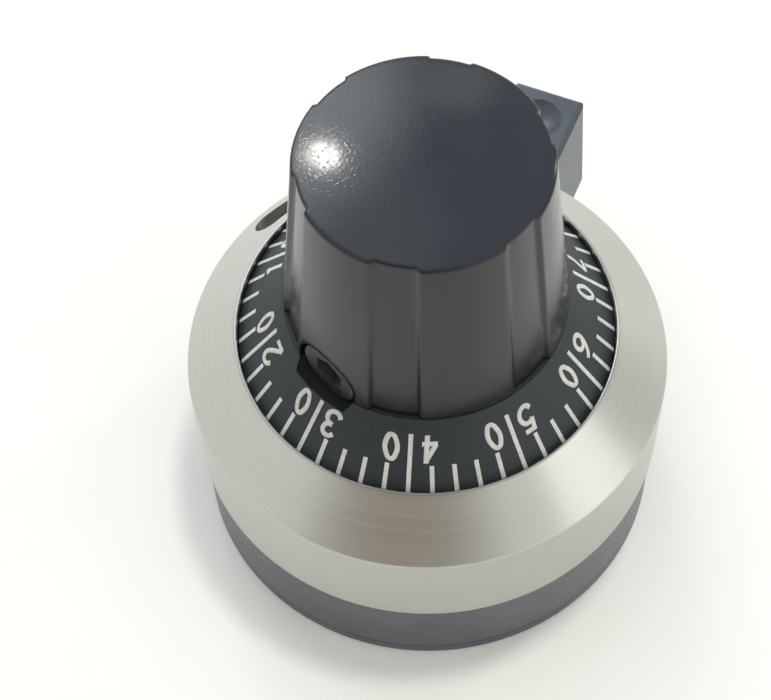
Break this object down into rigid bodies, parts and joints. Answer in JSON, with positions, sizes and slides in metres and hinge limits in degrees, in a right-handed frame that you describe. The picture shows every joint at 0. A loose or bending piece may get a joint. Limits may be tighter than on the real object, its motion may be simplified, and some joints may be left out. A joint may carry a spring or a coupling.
{
  "type": "turns-counting dial",
  "caption": "Small turns-counting dial for a multi-turn potentiometer: fluted knob with a conical scale, a turns counter behind a window in a metal ring, and a locking lever.",
  "frame": {"origin": "on the shaft axis, in the plane of the panel that the base stands on", "axes": "+Z along the shaft, away from the panel; +Y towards the counter window and the index"},
  "size_m": [0.0258, 0.0229, 0.025],
  "materials": {
    "black_moulding": "dark grey moulded plastic, slight sheen",
    "satin_aluminium": "turned and satin-finished aluminium",
    "knob_charcoal": "charcoal moulded plastic, fine texture with a soft sheen",
    "scale_black": "matt black with off-white scale lines and figures",
    "counter_black": "matt black with off-white figures",
    "brass": "plain turned brass",
    "steel": "plain steel",
    "screw_steel": "darkened alloy steel",
    "acetal": "natural white acetal"
  },
  "bodies": {
    "frame": {"base_plate": "black_moulding", "bearing_bush": "brass", "fixed_gear": "acetal", "outer_ring": "satin_aluminium", "lock_spring": "steel"},
    "rotor": {"shaft_hub": "brass", "retaining_ring": "steel", "thrust_washer": "acetal", "drag_washer": "acetal", "brake_disc": "steel", "planet_axle": "steel", "planet_keeper": "steel", "scale_cone": "scale_black", "knob": "knob_charcoal", "set_screws": "screw_steel"},
    "planet": {"planet_gear": "brass"},
    "counter": {"counter_ring": "counter_black"},
    "lock": {"lock_ring": "black_moulding"},
    "shoe_a": {"brake_shoe_a": "steel"},
    "shoe_b": {"brake_shoe_b": "steel"}
  },
  "joints": [
    {"name": "knob_spin", "type": "hinge", "parent": "frame", "child": "rotor", "pos_m": [0, 0, 0], "axis": [0, 0, -1], "continuous": true},
    {"name": "planet_spin", "type": "hinge", "parent": "rotor", "child": "planet", "pos_m": [0, -0.00741, 0.0068], "axis": [0, 0, -1], "continuous": true},
    {"name": "counter_spin", "type": "hinge", "parent": "frame", "child": "counter", "pos_m": [0, 0, 0.008], "axis": [0, 0, -1], "continuous": true},
    {"name": "lock_swing", "type": "hinge", "parent": "frame", "child": "lock", "pos_m": [0, 0, 0.003], "axis": [0, 0, -1], "range_deg": [0, 20]},
    {"name": "shoe_a_slide", "type": "slide", "parent": "frame", "child": "shoe_a", "axis": [0.6032, -0.7976, 0], "range_m": [0, 0.000101]},
    {"name": "shoe_b_slide", "type": "slide", "parent": "frame", "child": "shoe_b", "axis": [-0.6032, 0.7976, 0], "range_m": [0, 0.000101]}
  ],
  "couplings": [
    {"joint": "planet_spin", "follows": "knob_spin", "ratio": -7},
    {"joint": "counter_spin", "follows": "knob_spin", "ratio": 0.066667},
    {"joint": "shoe_a_slide", "follows": "lock_swing", "m_per_rad": 0.00028648},
    {"joint": "shoe_b_slide", "follows": "lock_swing", "m_per_rad": 0.00028648}
  ]
}
